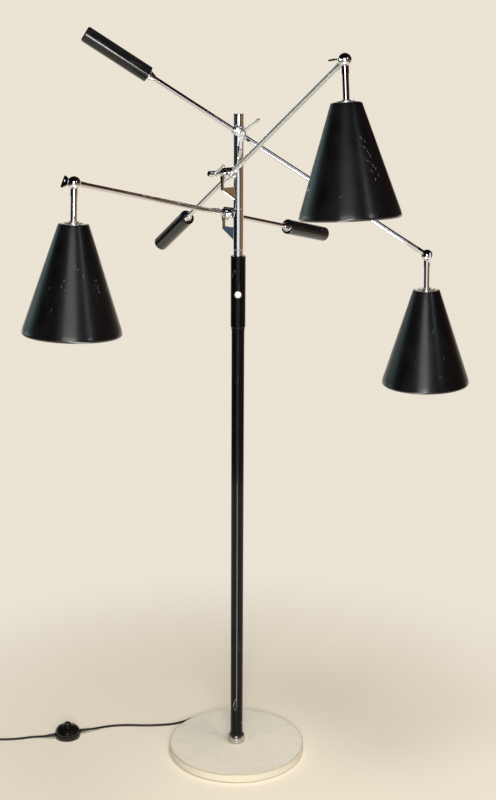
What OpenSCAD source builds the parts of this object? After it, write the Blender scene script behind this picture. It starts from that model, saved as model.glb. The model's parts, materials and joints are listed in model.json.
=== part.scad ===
// Floor lamp with three balanced arms on a stack of swivelling sleeves.
// Millimetres, +Z up. The origin is the centre of the felt under the base, on the floor.
// The camera side of the lamp is -Y. Arms are numbered a, b, c from the top down.

/* [Base] */
// Diameter of the stone slab
base_d = 300; // [270:1:360]
// Thickness of the stone slab
slab_t = 18.5; // [16:0.5:24]
// Thickness of the felt under the slab
felt_t = 1.5; // [1:0.5:3]
// How far the felt stays inside the slab's edge
felt_inset = 4; // [2:1:10]
// Diameter of the threaded pipe that holds the stem down
nipple_d = 10; // [8:1:13]

/* [Stem] */
// Height of the top of the mast above the floor
mast_top_z = 1412; // [1360:1:1500]
// Outside diameter of the black lower tube
tube_d = 27; // [24:1:32]
// Wall of the black lower tube
tube_wall = 1.5; // [1:0.1:2]
// Wall of the black switch sleeve
switch_sleeve_wall = 2; // [1.8:0.1:4]
// Length of the black switch sleeve
switch_sleeve_h = 155; // [120:1:190]
// Height of the foot collar under the tube
foot_collar_h = 20; // [14:1:26]
// Widest radius of the foot collar
foot_collar_r = 19; // [17.5:0.5:24]
// Distance of the push button below the top of the switch sleeve
button_down = 78; // [50:1:110]
// Diameter of the push button
button_d = 13.5; // [11:0.5:14]
// Travel of the push button
button_travel = 2; // [1.5:0.1:2.5]

/* [Mast] */
// Outside diameter of the chrome sleeves and of the cap
mast_d = 21; // [20:0.5:24]
// Outside diameter of the fixed inner mast
inner_mast_d = 16; // [14:0.5:17]
// Wall of the inner mast
inner_mast_wall = 1.5; // [1:0.1:2]
// Length of each swivelling sleeve
sleeve_h = 82.5; // [78:0.5:90]
// Radial running clearance of the sleeves on the mast
sleeve_fit = 0.06; // [0.03:0.01:0.1]
// Height of the neck ring between the black sleeve and the lowest chrome sleeve
neck_h = 13; // [8:1:20]
// Height of the arm pivot above the bottom of its sleeve
pivot_up = 73; // [70:1:76]

/* [Brackets] */
// Thickness of the bracket's plate, across
bracket_w = 6.5; // [5:0.5:12]
// Diameter of the bracket's eye round the clamp screw
eye_d = 13; // [12:0.5:16]
// Distance of the bracket's outer face from the stem axis
bracket_r = 39.5; // [38:0.5:44]
// Depth of the bracket's outer prong
prong_t = 3.5; // [2.5:0.5:5]
// Depth of the gap below the pivot, in which the arm tilts
gap_down = 29; // [28:1:34]
// Depth of the bracket's lowest point below the pivot
bracket_down = 54.5; // [50:0.5:60]
// Diameter of the clamp screw's shank
clamp_d = 8; // [6:0.5:8]
// Length of the clamp screw's head
clamp_head_l = 30; // [24:1:36]
// Diameter of the clamp screw's drum
clamp_drum_d = 12; // [10:0.5:14]
// Length of the clamp lever from the screw's axis
lever_l = 44; // [36:1:54]

/* [Arms] */
// Direction that each arm points in, seen from above, from +X towards +Y
arm_azimuth = [6.9, -59.3, -126.8]; // [-180:0.1:180]
// Tilt of each arm above the horizontal
arm_tilt = [-32.6, 30.9, 13.3]; // [-40:0.1:40]
// Distance of the arm's centreline from the stem axis
arm_r = 22; // [21.5:0.1:22.5]
// Distance from the pivot to the knuckle's centre
arm_l = 466; // [420:1:520]
// Distance from the pivot to the handle's far end
tail_l = 356; // [320:1:400]
// Distance of the rod's centreline below the clamp screw's axis
rod_drop = 4.5; // [4:0.5:5.5]
// Diameter of the chrome rod
rod_d = 10; // [9:0.5:11]
// Wall of the chrome rod
rod_wall = 1; // [0.8:0.1:1.5]
// Diameter of the black handle
handle_d = 32; // [26:1:36]
// Length of the black handle
handle_l = 145; // [120:1:170]
// Length of the chrome ferrule before the handle
ferrule_l = 14; // [10:1:20]
// Direction of each clamp lever about its screw, from the arm's direction towards +Z
lever_angle = [37, 27, -150]; // [-180:1:180]

/* [Knuckles] */
// Diameter of the split ball between arm and shade
ball_d = 24; // [22:0.5:26]
// Gap between the two halves of the ball
ball_gap = 0.3; // [0.2:0.1:0.6]
// Diameter of the knuckle's clamp screw
key_screw_d = 5; // [4:0.5:6]
// Width of the thumb key at its outer edge
key_w = 24; // [18:1:26]
// Direction of each thumb key about its screw, from the arm's direction towards +Z
key_angle = [90, 8, -60]; // [-180:1:180]
// Diameter of the tube that the shade hangs on
drop_d = 12; // [11:0.5:13]
// Distance from the ball's centre to the shade's top
drop_l = 73; // [66:1:90]

/* [Shades] */
// Lean of each shade's axis towards the arm's direction
shade_lean = [1.5, 6, 3.4]; // [-10:0.1:10]
// Widest diameter of the shade
shade_d = 184; // [160:1:210]
// Diameter of the shade's flat top
shade_top_d = 56; // [50:1:64]
// Height of the shade
shade_h = 202; // [180:1:230]
// Thickness of the shade's metal
shade_wall = 1; // [0.8:0.1:1.5]
// Radius of the shade's turned-in rim
shade_rim_r = 4.5; // [3.5:0.5:10]
// Diameter of the lampholder's threaded socket
socket_d = 26.6; // [24:0.1:27.2]
// Depth of the lampholder's threaded socket
socket_depth = 30; // [24:1:34]
// Outside diameter of the lampholder
holder_d = 38; // [34:1:42]
// Length of the lampholder below the shade's top
holder_l = 62; // [52:1:70]

/* [Foot switch] */
// Diameter of the foot switch
foot_switch_d = 58; // [50:1:70]
// Height of the foot switch without its button
foot_switch_h = 26; // [22:1:30]
// Diameter of the foot switch's button
foot_button_d = 14.5; // [12:0.5:18]
// How far the foot switch's button stands out
foot_button_up = 8; // [7:0.5:10]
// Travel of the foot switch's button
foot_button_travel = 3; // [2:0.1:4]

/* [Cord] */
// Diameter of the cord
cord_d = 5; // [4:0.1:5]
// Turns in the coil that puts the spare cord away
coil_turns = 7.25; // [7.25]
// Distance between neighbouring turns
coil_pitch = 5.45; // [5.45:0.05:5.6]
// Radius of the outermost turn's centreline
coil_r = 40; // [40:0.5:42]
// Thickness of the coil's tie
tie_t = 0.8; // [0.6:0.1:0.9]

/* [Hidden] */
$fn = 64;
cut = 1;
slip = 0.05;
touch_gap = 0.3;
arc_steps = 6;

base_r = base_d / 2;
base_top = felt_t + slab_t;
arris = 1.2;
nut_recess_d = 46;
washer_d = 40;
washer_t = 3;
nut_af = nipple_d + 7;
nut_t = 7;
nut_recess_h = washer_t + nut_t + 2;
groove_w = cord_d + 2;
groove_z = felt_t + groove_w / 2;
exit_angle = 118;
gland_l = 14;
gland_flange = 2;

tube_z = base_top + foot_collar_h;
tube_r = tube_d / 2;
tube_bore_r = tube_r - tube_wall;
spigot_h = 25;
nipple_top = tube_z + 15;

seam = 1;
pitch = sleeve_h + seam;
washer_gap = 0.1;
washer_h = seam - 2 * washer_gap;
cap_h = 22.5;
cap_z = mast_top_z - cap_h;
stack_z = cap_z - 3 * pitch;
neck_z = stack_z - seam - neck_h;
sleeve_bottom = neck_z - switch_sleeve_h;
lip_t = 2.5;
plug_flange = 5;
tube_top = neck_z - lip_t - plug_flange;
inner_mast_r = inner_mast_d / 2;
inner_mast_z = tube_top - 20;
inner_mast_top = mast_top_z - 7.5;
switch_sleeve_r = tube_r + switch_sleeve_wall;

button_z = neck_z - button_down;
bezel_d = button_d + 4.5;
barrel_d = button_d + 2.4;
bezel_back = tube_r + touch_gap;
bezel_front = switch_sleeve_r + 0.8;
button_proud = 2.5;
button_front = bezel_front + button_proud;
button_back = button_front - 11;
barrel_back = button_back - button_travel - 0.6;
barrel_end = barrel_back - 8;

mast_r = mast_d / 2;
gap_r = bracket_r - prong_t;
bend_r = 4;
shoulder_down = gap_down + 6;
eye_slope = 10;
bracket_edge = 0.7;
barrel_r = rod_drop + rod_d / 2 + 1.5;
block_r0 = mast_r + touch_gap + 0.1;
block_r1 = gap_r - touch_gap;
block_collar_r = rod_d / 2 + 2;
block_collar_l = 14;
clamp_tip_r = arm_r + rod_d / 2 + 0.6;
clamp_head_r = bracket_r + touch_gap;
clamp_neck_l = 10;
clamp_flange_t = 1.5;
lever_r = clamp_head_r + clamp_neck_l + 6;
lever_d = 5;
lever_tip_l = 8;

ball_r = ball_d / 2;
ball_clear = ball_r + touch_gap;
neck_d = rod_d + 1;
neck_waist_d = ball_r - 1.5;
neck_l = 15;
rod_spigot = 12;
collar_d = drop_d + 1.5;
collar_l = 12;
key_t = 3.2;
key_l = 15.5;
handle_front = tail_l - handle_l;
handle_grip = 30;
handle_recess = 1;
recess_r1 = handle_d / 2 - 2.6;
recess_r0 = recess_r1 - 2;
ferrule_flange_r = recess_r0 - 0.8;
shade_r = shade_d / 2;
shade_top_r = shade_top_d / 2;
cap_disc_r = shade_top_r - 3;

foot_switch_x = -388;
foot_switch_y = 54;
foot_switch_turn = 20;
foot_cord_z = 8;
foot_boss_r = foot_switch_d / 2 + 2;
foot_button_in = 10;
coil_x = -596;
coil_y = 30 - coil_r;
coil_z1 = 1.2 + cord_d / 2;
coil_steps = 24;
coil_start = 90;
coil_in_l = 6;
plug_tail = 14;
plug_l = 34;
relief_l = 20;
blade_l = 18;

// Places on the cord's way from the base to the foot switch, and from there to the coil
ROUTE_BASE = [
    [-71.5, 134.5, 5], [-74.4, 139.9, 5], [-79, 144.4, 4.2], [-85.5, 146, 3],
    [-92.8, 143.8, 2.5], [-99.8, 139.8, 2.5], [-106.4, 135.4, 2.5], [-112.8, 130.5, 2.5],
    [-125.7, 119.5, 2.5], [-141.9, 111.1, 2.5], [-158.4, 105.7, 2.5], [-180, 103, 2.5],
    [-203, 101, 2.5], [-226, 101, 2.5], [-250, 102, 2.5],
    [-273, 101, 2.5], [-296, 97, 2.5], [-315, 89, 3], [-331, 79, 5], [-341.9, 70.8, 7.6],
    [-347.6, 68.7, 8], [-353.2, 66.7, 8], [-358.6, 64.7, 8]
];
ROUTE_COIL = [
    [-417.4, 43.3, 8], [-423, 41.2, 8], [-431, 40, 6.8], [-442, 43, 4], [-454, 46, 2.5],
    [-474, 42, 2.5], [-496, 35, 2.5], [-518, 32, 2.5], [-541, 31, 2.5], [-558, 30, 3],
    [-572, 30, 3.7], [-581, 30, 3.7], [-590, 30, 3.7]
];

// Points of an arc in a plane, for profiles
function arc(cx, cy, r, a0, a1, n = arc_steps) =
    [for (i = [0:n]) let (a = a0 + (a1 - a0) * i / n) [cx + r * cos(a), cy + r * sin(a)]];

function unit(v) = v / norm(v);

// A smooth line through the route's places, with two steps between neighbours
function between(p, i, t) =
    let (
        a = p[max(i - 1, 0)],
        b = p[i],
        c = p[i + 1],
        d = p[min(i + 2, len(p) - 1)]
    )
    0.5 * (2 * b + (c - a) * t + (2 * a - 5 * b + 4 * c - d) * t * t
        + (3 * b - a - 3 * c + d) * t * t * t);
function smooth_route(p) = concat(
    [for (i = [0:len(p) - 2]) for (t = [0, 0.5]) between(p, i, t)],
    [p[len(p) - 1]]
);

// The tube's ring round each point of a line, its sides level with the floor
function tube_points(line, r, sides) = [
    for (i = [0:len(line) - 1])
    let (
        ahead = unit(line[min(i + 1, len(line) - 1)] - line[max(i - 1, 0)]),
        side = unit(cross([0, 0, 1], ahead)),
        up = cross(ahead, side)
    )
    for (k = [0:sides - 1])
    let (a = 360 * (k + 0.5) / sides)
    line[i] + r * (cos(a) * side + sin(a) * up)
];
function tube_faces(rings, sides) = concat(
    [for (k = [1:sides - 2]) [0, k, k + 1]],
    [for (i = [0:rings - 2]) for (k = [0:sides - 1])
        [i * sides + k, (i + 1) * sides + k, (i + 1) * sides + (k + 1) % sides]],
    [for (i = [0:rings - 2]) for (k = [0:sides - 1])
        [i * sides + k, (i + 1) * sides + (k + 1) % sides, i * sides + (k + 1) % sides]],
    [for (k = [1:sides - 2]) let (n = (rings - 1) * sides) [n, n + k + 1, n + k]]
);

// The coil spirals in on the floor, climbs half a turn where it reverses, and spirals out above
coil_middle = coil_turns / 2;
function coil_turned_in(s) = min(s, coil_turns - s, coil_middle - 0.125);
function coil_climb(s) = min(max((s - coil_middle + 0.25) / 0.5, 0), 1);
function coil_point(s) =
    let (
        a = coil_start + 360 * s,
        r = coil_r - coil_pitch * coil_turned_in(s),
        t = coil_climb(s)
    )
    [coil_x + r * cos(a), coil_y + r * sin(a), coil_z1 + coil_pitch * t * t * (3 - 2 * t)];
coil_last = coil_turns * coil_steps;
coil_end_a = coil_start + 360 * coil_turns;
coil_out = [-sin(coil_end_a), cos(coil_end_a), 0];
coil_line = concat(
    [coil_point(0) + [coil_in_l, 0, 0]],
    [for (i = [0:coil_last]) coil_point(i / coil_steps)],
    [coil_point(coil_turns) + plug_tail * coil_out]
);
coil_gap = min([
    for (i = [0:len(coil_line) - 1]) for (j = [i + 12:1:len(coil_line) - 1])
    norm(coil_line[i] - coil_line[j])
]) - cord_d;
echo("least gap between the coil's turns", coil_gap);

module at_sleeve(i) {
    translate([0, 0, cap_z - (i + 1) * pitch])
        rotate([0, 0, arm_azimuth[i]])
            children();
}

// The pivot's centre: X along the arm's level direction, -Y away from the stem
module at_pivot(i) {
    at_sleeve(i)
        translate([0, 0, pivot_up])
            children();
}

module at_arm(i) {
    at_pivot(i)
        translate([0, -arm_r, 0])
            rotate([0, -arm_tilt[i], 0])
                children();
}

module at_rod(i) {
    at_arm(i)
        translate([0, 0, -rod_drop])
            children();
}

module at_ball(i) {
    along = [cos(arm_tilt[i]), 0, sin(arm_tilt[i])];
    down = [sin(arm_tilt[i]), 0, -cos(arm_tilt[i])];
    at_pivot(i)
        translate(arm_l * along + rod_drop * down + [0, -arm_r, 0])
            children();
}

module at_shade(i) {
    at_ball(i)
        rotate([0, -shade_lean[i], 0])
            children();
}

module pipe(r, bore, h) {
    difference() {
        cylinder(r = r, h = h);
        translate([0, 0, -cut])
            cylinder(r = bore, h = h + 2 * cut);
    }
}

// A hole or shaft along the arm's radial screw, from one radius out to another
module radial(r, from, to) {
    translate([0, -to, 0])
        rotate([-90, 0, 0])
            cylinder(r = r, h = to - from);
}

module base_slab() {
    color("ivory")
        difference() {
            translate([0, 0, felt_t])
                rotate_extrude()
                    polygon([
                        [0, 0], [base_r - arris, 0], [base_r, arris],
                        [base_r, slab_t - arris], [base_r - arris / 3, slab_t - arris / 3],
                        [base_r - arris, slab_t], [0, slab_t]
                    ]);
            cylinder(r = nipple_d / 2 + 0.5, h = base_top + cut);
            cylinder(d = nut_recess_d, h = felt_t + nut_recess_h);
            rotate([0, 0, exit_angle])
                cord_groove();
        }
}

// The channel under the slab from the middle to the back edge
module cord_groove() {
    translate([0, -groove_w / 2, 0])
        cube([base_r + cut, groove_w, groove_z]);
    translate([0, 0, groove_z])
        rotate([0, 90, 0])
            cylinder(d = groove_w, h = base_r + cut);
}

module base_felt() {
    color("darkolivegreen")
        cylinder(r = base_r - felt_inset, h = felt_t);
}

module hold_down_nut() {
    color("silver")
        translate([0, 0, felt_t + nut_recess_h])
            difference() {
                union() {
                    translate([0, 0, -washer_t])
                        cylinder(d = washer_d, h = washer_t);
                    translate([0, 0, -washer_t - nut_t])
                        cylinder(d = nut_af / cos(30), h = nut_t, $fn = 6);
                }
                translate([0, 0, -washer_t - nut_t - cut])
                    cylinder(r = nipple_d / 2 + slip, h = washer_t + nut_t + 2 * cut);
            }
}

module base_nipple() {
    color("goldenrod")
        translate([0, 0, felt_t + 0.5])
            pipe(nipple_d / 2, nipple_d / 2 - 1.5, nipple_top - felt_t - 0.5);
}

// Turned collar that bulges out below the tube and draws in again at the slab
module foot_collar() {
    spigot_r = tube_bore_r - slip;
    core_r = tube_r + 0.5;
    widest = 0.45 * foot_collar_h;
    drawn_in = foot_collar_h - widest;
    low_a = -asin(widest / drawn_in);
    color("silver")
        translate([0, 0, base_top])
            rotate_extrude()
                polygon(concat(
                    [[nipple_d / 2 + slip, 0]],
                    [for (k = [0:9]) let (a = low_a + (90 - low_a) * k / 9) [
                        core_r + (foot_collar_r - core_r) * cos(a), widest + drawn_in * sin(a)
                    ]],
                    [
                        [spigot_r, foot_collar_h],
                        [spigot_r, foot_collar_h + spigot_h - 1],
                        [spigot_r - 1, foot_collar_h + spigot_h],
                        [nipple_d / 2 + slip, foot_collar_h + spigot_h]
                    ]
                ));
}

module lower_tube() {
    color([0.1, 0.1, 0.11])
        difference() {
            translate([0, 0, tube_z])
                pipe(tube_r, tube_bore_r, tube_top - tube_z);
            translate([0, 0, button_z])
                radial(barrel_d / 2 + touch_gap, 0, tube_r + cut);
        }
}

module switch_sleeve() {
    r = switch_sleeve_r;
    bore = tube_r + slip;
    color([0.08, 0.08, 0.09])
        difference() {
            translate([0, 0, sleeve_bottom])
                rotate_extrude()
                    polygon([
                        [bore, 0], [r - 1.4, 0], [r - 1.2, 5], [r, 7],
                        [r, switch_sleeve_h - 0.6], [r - 0.6, switch_sleeve_h],
                        [mast_r - 0.2, switch_sleeve_h],
                        [mast_r - 0.2, switch_sleeve_h - lip_t],
                        [bore, switch_sleeve_h - lip_t]
                    ]);
            translate([0, 0, button_z])
                radial(bezel_d / 2 + slip, 0, r + cut);
        }
}

module push_switch() {
    color([0.15, 0.15, 0.16])
        translate([0, 0, button_z])
            difference() {
                union() {
                    radial(barrel_d / 2, barrel_end, bezel_back + cut / 2);
                    radial(bezel_d / 2, bezel_back, bezel_front - 0.6);
                    translate([0, -bezel_front, 0])
                        rotate([-90, 0, 0])
                            cylinder(r1 = bezel_d / 2 - 0.6, r2 = bezel_d / 2, h = 0.6);
                }
                radial(button_d / 2 + 0.2, barrel_back, bezel_front + cut);
            }
}

module push_button() {
    color("white")
        translate([0, -button_back, button_z])
            rotate([90, 0, 0])
                rotate_extrude()
                    polygon(concat(
                        [[0, 0], [button_d / 2, 0]],
                        arc(
                            button_d / 2 - 1, button_front - button_back - 1.3,
                            1, 0, 75, 4
                        ),
                        [[0, button_front - button_back]]
                    ));
}

module neck_collar() {
    bore = inner_mast_r + slip;
    color("silver")
        translate([0, 0, tube_top])
            rotate_extrude()
                polygon([
                    [bore, -spigot_h], [tube_bore_r - slip, -spigot_h],
                    [tube_bore_r - slip, 0], [tube_r, 0], [tube_r, plug_flange],
                    [mast_r - 0.4, plug_flange],
                    [mast_r - 0.4, plug_flange + lip_t + neck_h - 0.5],
                    [mast_r - 0.9, plug_flange + lip_t + neck_h],
                    [bore, plug_flange + lip_t + neck_h]
                ]);
}

module inner_mast() {
    color("gray")
        translate([0, 0, inner_mast_z])
            pipe(inner_mast_r, inner_mast_r - inner_mast_wall, inner_mast_top - inner_mast_z);
}

module thrust_washers() {
    color("white")
        for (i = [0:3])
            translate([0, 0, cap_z - i * pitch - seam + washer_gap])
                pipe(mast_r - 0.4, inner_mast_r + 0.15, washer_h);
}

module top_cap() {
    color("silver")
        translate([0, 0, cap_z])
            rotate_extrude()
                polygon([
                    [inner_mast_r + slip, 0], [mast_r - 0.3, 0], [mast_r, 0.3],
                    [mast_r, cap_h - 0.8], [mast_r - 0.8, cap_h], [0, cap_h],
                    [0, inner_mast_top - cap_z], [inner_mast_r + slip, inner_mast_top - cap_z]
                ]);
}

module sleeve(i) {
    bore = inner_mast_r + sleeve_fit;
    color("silver")
        at_sleeve(i)
            rotate_extrude()
                polygon([
                    [bore, 0], [mast_r - 0.4, 0], [mast_r, 0.4],
                    [mast_r, sleeve_h - 0.4], [mast_r - 0.4, sleeve_h], [bore, sleeve_h]
                ]);
}

// Side view of the bracket, drawn in by an edge. X is the distance from the stem axis
module bracket_side(edge) {
    slope = atan2(bracket_down - shoulder_down, bracket_r - mast_r);
    keel_z = -bracket_down + edge / cos(slope);
    polygon(concat(
        [[mast_r - 2, 0], [bracket_r - edge, 0]],
        arc(bracket_r - bend_r, -shoulder_down + bend_r * 0.6, bend_r - edge, 0, slope - 90),
        [[mast_r + 1, keel_z], [mast_r - 2, keel_z]]
    ));
}

// Front view of the eye, which narrows below to the plate's thickness
module bracket_eye() {
    eye_x = eye_d / 2 * cos(eye_slope);
    eye_y = -eye_d / 2 * sin(eye_slope);
    plate_y = eye_y - (eye_x - bracket_w / 2) / tan(eye_slope);
    polygon(concat(
        arc(0, 0, eye_d / 2, -eye_slope, 180 + eye_slope, 4 * arc_steps),
        [[-bracket_w / 2, plate_y], [bracket_w / 2, plate_y]]
    ));
}

// Sweeps a side view to both sides of the arm's radial plane
module sideways(w) {
    rotate([90, 0, -90])
        translate([0, 0, -w / 2])
            linear_extrude(w)
                children();
}

module bracket(i) {
    color("lightgray")
        at_pivot(i)
            difference() {
                union() {
                    hull() {
                        sideways(bracket_w)
                            bracket_side(bracket_edge);
                        sideways(bracket_w - 2 * bracket_edge)
                            bracket_side(0);
                    }
                    translate([0, -gap_r, 0])
                        rotate([90, 0, 0])
                            linear_extrude(prong_t)
                                bracket_eye();
                }
                sideways(eye_d + 2 * cut)
                    translate([0, -gap_down])
                        square([gap_r, gap_down + eye_d + cut]);
                translate([0, 0, -bracket_down - cut])
                    cylinder(r = mast_r + slip, h = bracket_down + cut);
                radial(clamp_d / 2 + slip, gap_r - cut, bracket_r + cut);
            }
}

// Screw with a flange, a neck and a drum that one lever goes through
module clamp_lever(i) {
    shank = clamp_d / 2;
    drum = clamp_drum_d / 2;
    flange_y = clamp_head_r - clamp_tip_r;
    drum_y = flange_y + clamp_neck_l;
    end_y = flange_y + clamp_head_l;
    tip = lever_d / 2 + 0.4;
    color("silver")
        at_pivot(i) {
            translate([0, -clamp_tip_r, 0])
                rotate([90, 0, 0])
                    rotate_extrude()
                        polygon([
                            [0, 0], [shank - 0.6, 0], [shank, 0.6], [shank, flange_y],
                            [drum, flange_y], [drum, flange_y + clamp_flange_t],
                            [shank + 0.4, flange_y + clamp_flange_t + 1],
                            [shank + 0.4, drum_y - 1], [drum - 0.6, drum_y], [drum, drum_y + 0.8],
                            [drum, end_y - 1.5], [drum - 1.5, end_y], [0, end_y]
                        ]);
            translate([0, -lever_r, 0])
                rotate([0, 90 - lever_angle[i], 0])
                    rotate_extrude()
                        polygon(concat(
                            [[0, 0], [lever_d / 2, 0], [lever_d / 2 - 0.4, lever_l - lever_tip_l - 1]],
                            [[tip, lever_l - lever_tip_l]],
                            arc(0, lever_l - tip, tip, 0, 90, 4)
                        ));
        }
}

// Barrel on the clamp screw, with collars that hold the rod
module pivot_block(i) {
    color("silver")
        at_arm(i)
            difference() {
                union() {
                    translate([0, arm_r - block_r0, 0])
                        rotate([90, 0, 0])
                            rotate_extrude()
                                polygon([
                                    [0, 0], [barrel_r - 1, 0], [barrel_r, 1],
                                    [barrel_r, block_r1 - block_r0 - 1],
                                    [barrel_r - 1, block_r1 - block_r0],
                                    [0, block_r1 - block_r0]
                                ]);
                    translate([0, 0, -rod_drop])
                        rotate([0, 90, 0])
                            rotate_extrude()
                                polygon([
                                    [0, -block_collar_l], [block_collar_r - 1.2, -block_collar_l],
                                    [block_collar_r, -block_collar_l + 1.2],
                                    [block_collar_r, block_collar_l - 1.2],
                                    [block_collar_r - 1.2, block_collar_l], [0, block_collar_l]
                                ]);
                }
                translate([-block_collar_l - cut, 0, -rod_drop])
                    rotate([0, 90, 0])
                        cylinder(r = rod_d / 2 + slip, h = 2 * (block_collar_l + cut));
                translate([0, arm_r, 0])
                    radial(clamp_d / 2 + slip, clamp_tip_r - 0.2, block_r1 + cut);
            }
}

module rod(i) {
    from = -handle_front - handle_grip;
    to = arm_l - ball_r - neck_l;
    color("silver")
        at_rod(i)
            translate([from, 0, 0])
                rotate([0, 90, 0])
                    pipe(rod_d / 2, rod_d / 2 - rod_wall, to - from);
}

module ferrule(i) {
    bore = rod_d / 2 + slip;
    color("silver")
        at_rod(i)
            translate([-handle_front, 0, 0])
                rotate([0, 90, 0])
                    rotate_extrude()
                        polygon([
                            [bore, 0], [ferrule_flange_r, 0], [ferrule_flange_r, 1.5],
                            [ferrule_flange_r - 1.2, 2.5], [bore + 0.9, ferrule_l - 1],
                            [bore + 0.4, ferrule_l], [bore, ferrule_l]
                        ]);
}

module handle(i) {
    r = handle_d / 2;
    bore = rod_d / 2 + slip;
    color([0.07, 0.07, 0.08])
        at_rod(i)
            translate([-tail_l, 0, 0])
                rotate([0, 90, 0])
                    rotate_extrude()
                        polygon([
                            [0, 0], [r - 2.5, 0], [r, 2.5], [r, handle_l - 1], [r - 1, handle_l],
                            [recess_r1 + 0.6, handle_l], [recess_r1, handle_l - handle_recess],
                            [recess_r0, handle_l - handle_recess], [recess_r0 - 0.6, handle_l],
                            [bore, handle_l], [bore, handle_l - handle_grip - 1],
                            [0, handle_l - handle_grip - 1]
                        ]);
}

// Half of the split ball, on the side of the joint plane that +Y is on
module half_ball() {
    difference() {
        sphere(r = ball_r);
        translate([-ball_d, -2 * ball_d + ball_gap / 2, -ball_d])
            cube([2 * ball_d, 2 * ball_d, 2 * ball_d]);
    }
}

// Room for the other half, on the side that -Y is on
module other_half_room() {
    intersection() {
        sphere(r = ball_clear);
        translate([-ball_d, -2 * ball_d + ball_gap / 2, -ball_d])
            cube([2 * ball_d, 2 * ball_d, 2 * ball_d]);
    }
}

// Inner half of the ball, with a neck that plugs into the rod
module knuckle_arm_half(i) {
    color("silver")
        at_rod(i)
            translate([arm_l, 0, 0])
                difference() {
                    union() {
                        half_ball();
                        translate([-ball_r - neck_l, 0, 0])
                            rotate([0, 90, 0])
                                cylinder(d1 = neck_d, d2 = neck_waist_d, h = neck_l + ball_r / 4);
                        translate([-ball_r - neck_l - rod_spigot, 0, 0])
                            rotate([0, 90, 0])
                                cylinder(r = rod_d / 2 - rod_wall - slip, h = rod_spigot + cut);
                    }
                    other_half_room();
                    radial(key_screw_d / 2 + slip, -ball_r * 0.7, ball_r);
                }
}

// Outer half of the ball with its collar and the tube that carries the shade
module knuckle_shade_half(i) {
    end_z = -drop_l - shade_wall - 9;
    color("silver")
        at_shade(i)
            difference() {
                union() {
                    rotate([0, 0, 180])
                        half_ball();
                    translate([0, 0, -ball_r - collar_l])
                        cylinder(d = collar_d, h = ball_r + collar_l - key_screw_d);
                    translate([0, 0, end_z])
                        cylinder(d = drop_d, h = -end_z - ball_r - collar_l + 1);
                }
                rotate([0, 0, 180])
                    other_half_room();
                translate([0, 0, end_z - cut])
                    cylinder(d = drop_d - 3, h = -end_z - ball_r - 3);
                radial(key_screw_d / 2 + slip, -cut, ball_r + cut);
            }
}

// Flat paddle on the knuckle's screw, on the side away from the stem
module thumb_key(i) {
    color("silver")
        at_ball(i)
            rotate([0, -key_angle[i], 0]) {
                radial(key_screw_d / 2, -ball_r * 0.7 + 0.5, ball_r + 1);
                difference() {
                    translate([0, 0, -key_t / 2])
                        linear_extrude(key_t)
                            polygon(concat(
                                [[-key_screw_d, -ball_clear], [key_screw_d, -ball_clear]],
                                arc(
                                    key_w / 2 - 2.5, -ball_clear - key_l + 2.5,
                                    2.5, 30, -90, 4
                                ),
                                arc(
                                    -key_w / 2 + 2.5, -ball_clear - key_l + 2.5,
                                    2.5, -90, -210, 4
                                )
                            ));
                    for (s = [-1, 1])
                        translate([0, -ball_clear - key_l * 0.62, s * (key_t / 2 + 11.1)])
                            rotate([90, 0, 0])
                                cylinder(r = 12, h = key_l * 0.2, center = true);
                }
            }
}

// Thin spun cone with a flat top and a rim that turns in
module shade(i) {
    top_z = -drop_l;
    side = atan2(shade_r - shade_top_r, shade_h - shade_rim_r);
    rim_z = top_z - shade_h + shade_rim_r;
    outer = concat(
        [[0, top_z], [shade_top_r - 0.6, top_z], [shade_top_r, top_z - 0.6]],
        arc(shade_r - shade_rim_r, rim_z, shade_rim_r, side, -60)
    );
    inner = concat(
        arc(shade_r - shade_rim_r, rim_z, shade_rim_r - shade_wall, -60, side),
        [[shade_top_r - 1.6 * shade_wall, top_z - shade_wall], [0, top_z - shade_wall]]
    );
    color([0.1, 0.1, 0.1])
        at_shade(i)
            difference() {
                rotate_extrude()
                    polygon(concat(outer, inner));
                translate([0, 0, top_z - 2 * shade_wall - cut])
                    cylinder(r = drop_d / 2 + slip, h = 2 * shade_wall + 2 * cut);
            }
}

// Pressed disc and washer that pull the shade up against the lampholder
module shade_cap(i) {
    bore = drop_d / 2 + slip;
    washer_r = cap_disc_r - 8;
    hub_r = bore + 2.4;
    color("gainsboro")
        at_shade(i)
            translate([0, 0, -drop_l])
                rotate_extrude()
                    polygon([
                        [bore, 0], [cap_disc_r, 0], [cap_disc_r, 0.5], [cap_disc_r - 0.6, 1],
                        [washer_r, 1.6], [washer_r, 2.6], [washer_r - 1, 3],
                        [hub_r + 0.6, 3], [hub_r, 5], [bore, 5]
                    ]);
}

module lampholder(i) {
    r = holder_d / 2;
    neck_r = r - 6;
    body_r = r - 2;
    skirt_z = -30;
    grip = 10;
    color([0.2, 0.2, 0.2])
        at_shade(i)
            translate([0, 0, -drop_l - shade_wall])
                difference() {
                    rotate_extrude()
                        polygon([
                            [0, 0], [neck_r, 0], [neck_r, -4], [body_r, -12],
                            [body_r, skirt_z], [r, skirt_z - 2],
                            [r, -holder_l + 1.5], [r - 1.5, -holder_l], [0, -holder_l]
                        ]);
                    translate([0, 0, -grip])
                        cylinder(r = drop_d / 2 + slip, h = grip + cut);
                    translate([0, 0, -holder_l - cut])
                        cylinder(r = socket_d / 2, h = socket_depth + cut);
                }
}

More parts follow.
